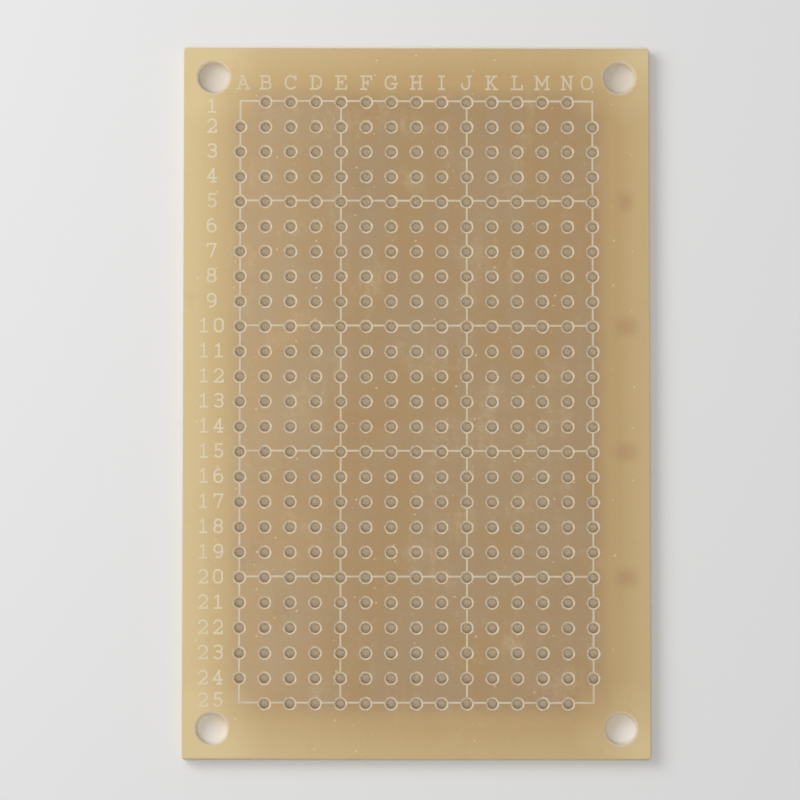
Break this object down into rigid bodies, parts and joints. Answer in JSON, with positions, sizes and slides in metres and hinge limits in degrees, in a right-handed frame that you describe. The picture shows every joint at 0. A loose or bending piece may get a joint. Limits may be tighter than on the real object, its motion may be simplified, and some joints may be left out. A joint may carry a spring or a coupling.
{
  "type": "prototype board",
  "caption": "Perforated single-sided circuit board with a round copper land at every hole, a printed hole grid legend and corner mounting holes.",
  "frame": {"origin": "centre of the underside, on the plane of the copper lands' faces, on which the board lies", "axes": "+X along the rows of holes from column A to the last column, +Y up the columns from the last row to row 1, +Z out of the component side"},
  "size_m": [0.047, 0.072, 0.0017],
  "materials": {
    "laminate": "satin translucent resin-bonded glass laminate",
    "copper": "bare copper foil under a clear flux coat",
    "ink": "thin cream-white screen-printed ink"
  },
  "bodies": {
    "root": {"laminate": "laminate", "lands_row_01": "copper", "lands_row_02": "copper", "lands_row_03": "copper", "lands_row_04": "copper", "lands_row_05": "copper", "lands_row_06": "copper", "lands_row_07": "copper", "lands_row_08": "copper", "lands_row_09": "copper", "lands_row_10": "copper", "lands_row_11": "copper", "lands_row_12": "copper", "lands_row_13": "copper", "lands_row_14": "copper", "lands_row_15": "copper", "lands_row_16": "copper", "lands_row_17": "copper", "lands_row_18": "copper", "lands_row_19": "copper", "lands_row_20": "copper", "lands_row_21": "copper", "lands_row_22": "copper", "lands_row_23": "copper", "lands_row_24": "copper", "lands_row_25": "copper", "foil_numerals": "copper", "legend_lines": "ink", "column_letters": "ink", "row_numbers": "ink"}
  },
  "joints": []
}
